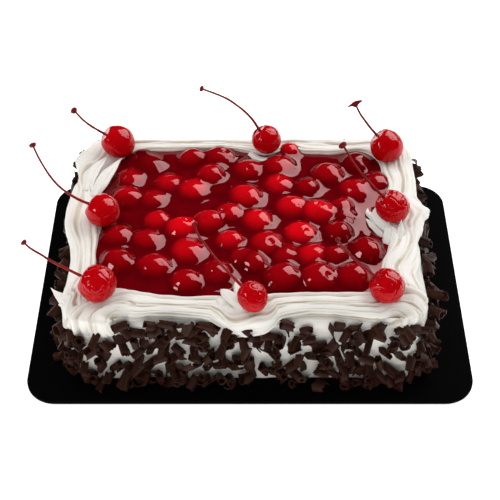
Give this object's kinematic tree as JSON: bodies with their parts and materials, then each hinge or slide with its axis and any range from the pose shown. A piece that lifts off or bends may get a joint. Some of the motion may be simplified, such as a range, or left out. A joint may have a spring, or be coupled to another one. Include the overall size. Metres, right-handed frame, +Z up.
{
  "type": "sheet cake",
  "caption": "oblong iced cake on a flat board, with a piped cream border, a glossy cherry filling on top, stemmed cherries on the border and chocolate curls round its sides",
  "frame": {"origin": "the middle of the board's underside, with everything else above and inside the board's outline", "axes": "+X along the cake's long side, to the right as it is looked at from its front, +Y from its front to its back, +Z up"},
  "size_m": [0.29, 0.207, 0.1118],
  "materials": {
    "board": "black, satin gloss",
    "icing_with_curls": "soft white icing with dark chocolate curls pressed in",
    "cream": "soft warm white whipped cream",
    "cherry_gel": "wet, deep red",
    "cherry": "wet, bright red"
  },
  "bodies": {
    "root": {"board": "board", "iced_cake": "icing_with_curls", "cream_border": "cream", "cherry_filling": "cherry_gel", "cherry_front_left": "cherry", "cherry_front_middle": "cherry", "cherry_front_right": "cherry", "cherry_right": "cherry", "cherry_back_right": "cherry", "cherry_back_middle": "cherry", "cherry_back_left": "cherry", "cherry_left": "cherry"}
  },
  "joints": []
}
